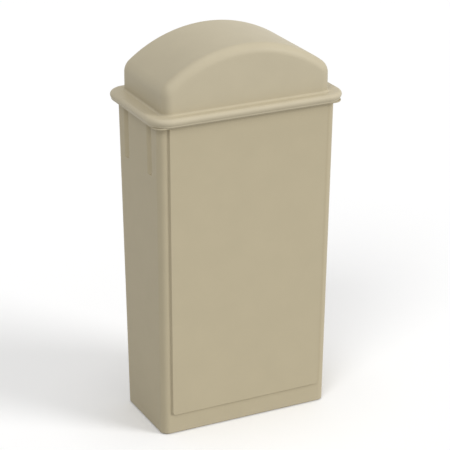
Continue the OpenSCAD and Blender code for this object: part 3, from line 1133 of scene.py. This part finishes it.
        outer_y = self.dome.half_y
        inner_y = outer_y - self.wall
        loops = [self.mouth_loop(skin, outer_y - gone, left, Wear.EDGE) for gone, left in edge]
        loops += [
            self.mouth_loop(skin, inner_y + left, gone, Wear.INNER) for gone, left in edge
        ]
        skin.stack(loops)
        skin.fill(back, loops[0])
        skin.fill(back_in, loops[-1])
        piece = skin.build("hood_shell")
        shade(piece)
        dress(piece, Finish.HOOD, "hood_plastic", "lid", "dome_hood")


# ---------------------------------------------------------------- door and hinge


@dataclass
class SwingDoor:
    """Door leaf with a shallow dish, upright ribs behind it and three hinge knuckles."""

    hood: DomeHood
    lap: float = 7.0
    edge: float = 0.7
    dish_d: float = 1.0
    dish_edge: float = 20.0
    dish_slope: float = 3.0
    leaf_t: float = 3.0
    gap: float = 2.0
    rib_d: float = 4.5
    rib_t: float = 2.4
    rib_step: float = 56.0
    rib_places: tuple[int, ...] = (-2, -1, 0, 1, 2)
    rib_sink: float = 0.5
    rib_draft: float = 0.45  # share of its thickness that a rib loses to its tip
    rib_slope: float = 7.0
    rib_round: float = 1.1
    rib_side: float = 0.95  # keeps the two corners of a rib's end apart
    knuckle_r: float = 6.5
    bore_r: float = 3.06
    knuckle_len: float = 30.0
    knuckle_step: float = 55.0
    knuckle_places: tuple[int, ...] = (-1, 0, 1)
    knuckle_edge: float = 0.5
    tab_inset: float = 0.05
    tab_edge: float = 0.5
    tab_r: float = 1.5
    bracket_gap: float = 2.0
    plate_h: float = 12.0
    plate_drop: float = 0.5
    edge_n: int = 4
    dish_n: int = 6
    rib_n: int = 6
    knuckle_n: int = 56

    def __post_init__(self) -> None:
        """Works out the door's outline and place from the hood."""
        hood = self.hood
        self.face_y = hood.dome.half_y - hood.wall - self.gap
        self.top_z = hood.hinge_z - self.plate_drop - self.plate_h / 2 - self.bracket_gap
        mouth = hood.mouth
        # the mouth's outline is grown by the lap, but its top is the door's own
        self.shape = MouthShape(
            mouth.half, mouth.low, self.top_z - self.lap, mouth.round_r, mouth.round_z
        )

    def leaf(self) -> Piece:
        """Builds the door panel with its dish.

        Returns:
            The panel.
        """
        skin = Skin()
        edge = quarter(self.edge, self.edge_n)

        def loop(y: float, grow: float, wear: Wear = Wear.NONE) -> Ring:
            """Adds one loop of the leaf."""
            outline = self.shape.loop(grow, self.hood.mouth_r)
            return skin.ring([(x, y, z) for x, z in outline], wear)

        back_y = self.face_y - self.leaf_t
        rings = [loop(back_y + gone, self.lap - left, Wear.RIM) for gone, left in edge]
        rings += [loop(self.face_y - left, self.lap - gone, Wear.EDGE) for gone, left in edge]
        dish = self.lap - self.dish_edge
        for t in shares(self.dish_n):
            depth = self.dish_d * smooth(t)
            rings.append(loop(self.face_y - depth, dish - self.dish_slope * (t - 0.5)))
        skin.stack(rings)
        skin.fill(rings[0])
        skin.fill(rings[-1])
        return skin.build("door_leaf")

    def ribs(self) -> Piece:
        """Builds the upright ribs behind the leaf, with drafted sides and rounded tips.

        Returns:
            The ribs.
        """
        skin = Skin()
        low = self.shape.low - self.lap + self.dish_edge / 2
        root_y = self.face_y - self.leaf_t + self.rib_sink
        reach = self.shape.round_r + self.lap - self.dish_edge / 2
        for k in self.rib_places:
            x = k * self.rib_step
            top = min(
                self.shape.round_z + math.sqrt(reach**2 - x**2), self.top_z - self.dish_edge / 2
            )
            middle, half = (low + top) / 2, (top - low) / 2
            rings = []
            for t in shares(self.rib_n):
                # the end of the rib slopes down to the leaf, and its tip is rounded
                back = root_y - (self.rib_d + self.rib_sink) * math.sin(t * RIGHT_ANGLE)
                slim = self.rib_t / 2 * (1 - self.rib_draft * t**3)
                corner = min(slim, self.rib_round) * self.rib_side
                outline = Plan(slim, half - self.rib_slope * t**2, corner)
                rings.append(skin.ring(outline.upright(x, back, middle)))
            skin.stack(rings)
            skin.fan(rings[0], (x, root_y, middle))
            skin.fan(rings[-1], (x, root_y - self.rib_d - self.rib_sink, middle))
        return skin.build("door_ribs")

    def knuckles(self) -> Piece:
        """Builds the tubes round the hinge rod.

        Returns:
            The tubes.
        """
        skin = Skin()
        half = self.knuckle_len / 2
        corners = [(self.bore_r, -half), (self.knuckle_r, -half), (self.knuckle_r, half),
                   (self.bore_r, half)]
        profile = rounded_profile(corners, self.knuckle_edge)
        for k in self.knuckle_places:
            centre = (k * self.knuckle_step, self.hood.hinge_y, self.hood.hinge_z)
            skin.lathe(profile, centre, Axis.RIGHT, self.knuckle_n)
        return skin.build("door_knuckles")

    def tabs(self) -> Piece:
        """Builds the tabs that carry the knuckles on the leaf.

        Returns:
            The tabs.
        """
        skin = Skin()
        root = self.top_z - self.knuckle_r
        middle, half = (root + self.hood.hinge_z) / 2, (self.hood.hinge_z - root) / 2
        inset, edge = self.tab_inset, self.tab_edge
        layers = ((inset, edge), (edge, 0.0), (self.leaf_t - edge, 0.0),
                  (self.leaf_t - inset, edge))
        for k in self.knuckle_places:
            x = k * self.knuckle_step
            rings = []
            for depth, less in layers:
                outline = Plan(self.knuckle_len / 2 - inset - less, half - less, self.tab_r)
                rings.append(skin.ring(outline.upright(x, self.face_y - depth, middle)))
            skin.stack(rings)
            skin.fan(rings[0], (x, self.face_y - inset, middle))
            skin.fan(rings[-1], (x, self.face_y - self.leaf_t + inset, middle))
        return skin.build("door_tabs")

    def build(self) -> None:
        """Builds and dresses the door."""
        piece = self.leaf()
        unite(piece, [self.ribs(), self.knuckles(), self.tabs()])
        shade(piece, 35)
        dress(piece, Finish.DOOR, "door_plastic", "door", "swing_door")


@dataclass
class HingeSet:
    """Steel rod, its brackets with their rivets, its push nuts, and the door's bumpers."""

    hood: DomeHood
    door: SwingDoor
    rod_r: float = 3.0
    rod_bevel: float = 0.5
    mark_r: float = 0.5
    mark_d: float = 0.4
    nut_r: float = 6.0
    nut_t: float = 2.5
    nut_play: float = 0.02
    nut_edge: float = 0.2
    web_low: float = 0.9
    web_high: float = 1.6
    roll_in: float = 1.4
    roll_t: float = 0.9
    dish_in: float = 1.6
    dish_up: float = 1.2
    rivet_r: float = 1.6
    rivet_step: float = 12.0
    head: float = 1.6
    head_h: float = 1.1
    tail_h: float = 0.9
    tail_edge: float = 0.3
    pin_r: float = 0.7
    pin_edge: float = 0.85
    pin_d: float = 0.6
    plate_t: float = 3.0
    plate_edge: float = 0.5
    bumper_r: float = 3.0
    bumper_in: float = 42.0
    bumper_up: float = 17.0
    bumper_gap: float = 0.1
    bumper_edge: float = 0.9
    head_n: int = 8
    rivet_n: int = 40
    bumper_edge_n: int = 5
    bumper_n: int = 32

    def rod(self) -> None:
        """Builds the rod with turned bevels at its ends and a small centre mark in each."""
        skin = Skin()
        reach = node_box("hinge_rod")[1].x
        half = [(0.0, reach - self.mark_d), (self.mark_r, reach),
                (self.rod_r - self.rod_bevel, reach), (self.rod_r, reach - self.rod_bevel)]
        profile = half + [(r, -x) for r, x in half[::-1]]
        skin.lathe(profile, (0, self.hood.hinge_y, self.hood.hinge_z), Axis.RIGHT)
        piece = skin.build("steel_hinge_rod")
        shade(piece, 30)
        dress(piece, Finish.STEEL, "rod_steel", "lid", "hinge_rod")

    def push_nuts(self) -> None:
        """Builds the pressed caps on the rod's ends, dished inwards, with a rolled rim."""
        skin = Skin()
        inner = node_box("rod_push_nuts")[1].x - self.nut_t
        bore = self.rod_r + self.nut_play
        corners = [(bore, self.web_low), (bore, self.web_high),
                   (self.nut_r - self.roll_in, self.nut_t), (self.nut_r, self.nut_t),
                   (self.nut_r, 0.0), (self.nut_r - self.roll_t, 0.0),
                   (self.nut_r - self.dish_in, self.dish_up)]
        profile = rounded_profile(corners, self.nut_edge, 2)
        for axis, x in ((Axis.RIGHT, inner), (Axis.LEFT, -inner)):
            skin.lathe(profile, (x, self.hood.hinge_y, self.hood.hinge_z), axis)
        piece = skin.build("pressed_push_nuts")
        shade(piece, 30)
        dress(piece, Finish.STEEL, "rod_steel", "lid", "rod_push_nuts")

    def rivets(self) -> None:
        """Builds the blind rivets: a domed head with a pin mark outside, a collar inside."""
        skin = Skin()
        low, high = node_box("bracket_rivets")
        reach = self.rivet_r + self.head
        outer_x, centre_z = high.x - reach, (low.z + high.z) / 2
        ball = (reach**2 + self.head_h**2) / (2 * self.head_h)
        wall_y = self.hood.dome.half_y
        span = self.hood.wall + self.plate_t
        mark = self.head_h - self.pin_d
        profile: list[Flat] = [(0.0, mark), (self.pin_r, mark)]
        for t in shares(self.head_n):
            radius = mix(self.pin_edge, reach, t)
            rise = math.sqrt(ball**2 - radius**2) - (ball - self.head_h)
            profile.append((radius, max(rise, 0.0)))
        profile += [(self.rivet_r, 0.0), (self.rivet_r, -span), (reach - self.tail_edge, -span),
                    (reach, -span - self.tail_edge),
                    (reach - self.tail_edge, -span - self.tail_h), (0.0, -span - self.tail_h)]
        for side in SIDES:
            for k in (0, 1):
                centre = (side * (outer_x - k * self.rivet_step), wall_y, centre_z)
                skin.lathe(profile, centre, Axis.BACK, self.rivet_n)
        piece = skin.build("blind_rivets")
        shade(piece, 35)
        dress(piece, Finish.ALUMINIUM, "rivet_aluminium", "lid", "bracket_rivets")

    def bumpers(self) -> None:
        """Builds the rubber bumpers with rounded faces."""
        skin = Skin()
        mouth, lap = self.hood.mouth, self.door.lap
        length = self.door.gap - self.bumper_gap
        wall_in = self.hood.dome.half_y - self.hood.wall
        profile = [(0.0, 0.0), (self.bumper_r, 0.0)]
        for gone, left in quarter(self.bumper_edge, self.bumper_edge_n):
            profile.append((self.bumper_r - gone, length - left))
        profile.append((0.0, length))
        places = [(mouth.half - self.bumper_in, mouth.low - lap / 2),
                  (mouth.half + lap / 2, mouth.low + self.bumper_up)]
        for side in SIDES:
            for x, z in places:
                skin.lathe(profile, (side * x, wall_in, z), Axis.FRONT, self.bumper_n)
        piece = skin.build("rubber_bumpers")
        shade(piece, 35)
        dress(piece, Finish.RUBBER, "bumper_rubber", "lid", "door_bumpers")

    def brackets(self) -> None:
        """Dresses the two bracket nodes and rounds their edges."""
        for side in ("left", "right"):
            node = frame["nodes"][f"hinge_bracket_{side}"]
            soften(node, self.plate_edge)
            dress(node, Finish.BRACKET, "bracket_plastic", "lid")

    def build(self) -> None:
        """Builds and dresses the whole set."""
        self.rod()
        self.push_nuts()
        self.rivets()
        self.bumpers()
        self.brackets()


# ---------------------------------------------------------------- studio


@dataclass(frozen=True)
class Lamp:
    """Broad lamp that shines from a direction and looks some degrees wide from the object."""

    name: str
    origin: Point
    strength: float
    width: float

    def build(self) -> None:
        """Adds the lamp."""
        data = bpy.data.lights.new(self.name, "SUN")
        data.energy, data.angle = self.strength, math.radians(self.width)
        lamp = add_object(self.name, data)
        lamp.rotation_mode = "QUATERNION"
        lamp.rotation_quaternion = (-Vector(self.origin)).to_track_quat("-Z", "Y")


@dataclass
class Studio:
    """Pale floor, white surroundings, three broad soft lamps and the camera, in metres."""

    camera_at: Point = (-1.9580, -3.9881, 2.2826)
    camera_aim: Point = (0.0008, 0.0067, 0.4814)
    lens: float = 154.45
    sensor: float = 36.0
    near: float = 0.05
    far: float = 100.0
    lamps: tuple[Lamp, ...] = (
        Lamp("key", (0.641, -0.641, 0.423), 1.74, 25.0),
        Lamp("fill", (-0.5, -0.5, 0.707), 0.83, 25.0),
        Lamp("top", (0.0, 0.0, 1.0), 0.68, 30.0),
    )
    sky: float = 0.4
    floor_half: float = 14.0
    floor_roughness: float = 0.9
    floor_colour: str = "#fcfcfc"
    floor_bounce: str = "#d2d2d2"

    def camera(self) -> None:
        """Sets up the camera at the photograph's viewing angle."""
        data = bpy.data.cameras.new("camera")
        data.lens, data.sensor_width = self.lens, self.sensor
        data.clip_start, data.clip_end = self.near, self.far
        camera = add_object("camera", data)
        camera.location = self.camera_at
        camera.rotation_mode = "QUATERNION"
        aim = Vector(self.camera_aim) - Vector(self.camera_at)
        camera.rotation_quaternion = aim.to_track_quat("-Z", "Y")
        bpy.context.scene.camera = camera

    def shown(self, tree: Tree) -> bpy.types.NodeSocket:
        """Tells what is looked at from what only throws light.

        Args:
            tree: node tree to add to.

        Returns:
            Output that is 1 where the camera, a mirroring or clear matter looks, and else 0.
        """
        rays = add_node(tree, "ShaderNodeLightPath").outputs
        seen = rays["Is Camera Ray"]
        for kind in ("Is Glossy Ray", "Is Transmission Ray"):
            both = add_node(tree, "ShaderNodeMath", {0: seen, 1: rays[kind]}, operation="MAXIMUM")
            seen = both.outputs[0]
        return seen

    def surroundings(self) -> None:
        """Adds white surroundings, seen and mirrored at full white but softer as light."""
        world = bpy.data.worlds.new("surroundings")
        world.use_nodes = True
        bpy.context.scene.world = world
        tree = world.node_tree
        tree.nodes.clear()
        level = add_node(tree, "ShaderNodeMapRange", {
            "Value": self.shown(tree), "To Min": self.sky, "To Max": 1.0})
        light = add_node(tree, "ShaderNodeBackground", {
            "Color": (1.0, 1.0, 1.0, 1.0), "Strength": level.outputs["Result"]})
        add_node(tree, "ShaderNodeOutputWorld", {"Surface": light.outputs[0]})

    def floor(self) -> None:
        """Adds a plain pale floor, whiter to the camera than to the light it throws back."""
        mesh = bpy.data.meshes.new("floor")
        grid = bmesh.new()
        bmesh.ops.create_grid(grid, x_segments=8, y_segments=8, size=self.floor_half)
        grid.to_mesh(mesh)
        grid.free()
        floor = add_object("floor", mesh)
        material, tree, shader = new_material("matte_painted_floor")
        colour = add_node(tree, "ShaderNodeMix", {
            0: self.shown(tree), 6: linear(self.floor_bounce), 7: linear(self.floor_colour)},
            data_type="RGBA")
        feed(tree, shader, {
            "Base Color": colour.outputs[2], "Roughness": self.floor_roughness,
            "Specular IOR Level": 0.0})
        mesh.materials.append(material)
        floor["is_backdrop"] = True

    def build(self) -> None:
        """Builds the studio."""
        self.camera()
        self.surroundings()
        self.floor()
        for lamp in self.lamps:
            lamp.build()
        bpy.context.scene.view_settings.view_transform = "Standard"


def save_sizes() -> None:
    """Works out the box of the frame and the box of the dressed object, and keeps neither."""
    boxes = [[list(corner) for corner in box] for box in (CAD_BOX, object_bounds())]


def main() -> None:
    """Builds the studio and every piece in order."""
    logging.basicConfig(level=logging.INFO, format="%(message)s")
    Studio().build()
    Container().build()
    hood = DomeHood()
    hood.build()
    door = SwingDoor(hood)
    door.build()
    HingeSet(hood, door).build()
    save_sizes()


if __name__ == "__main__":
    main()
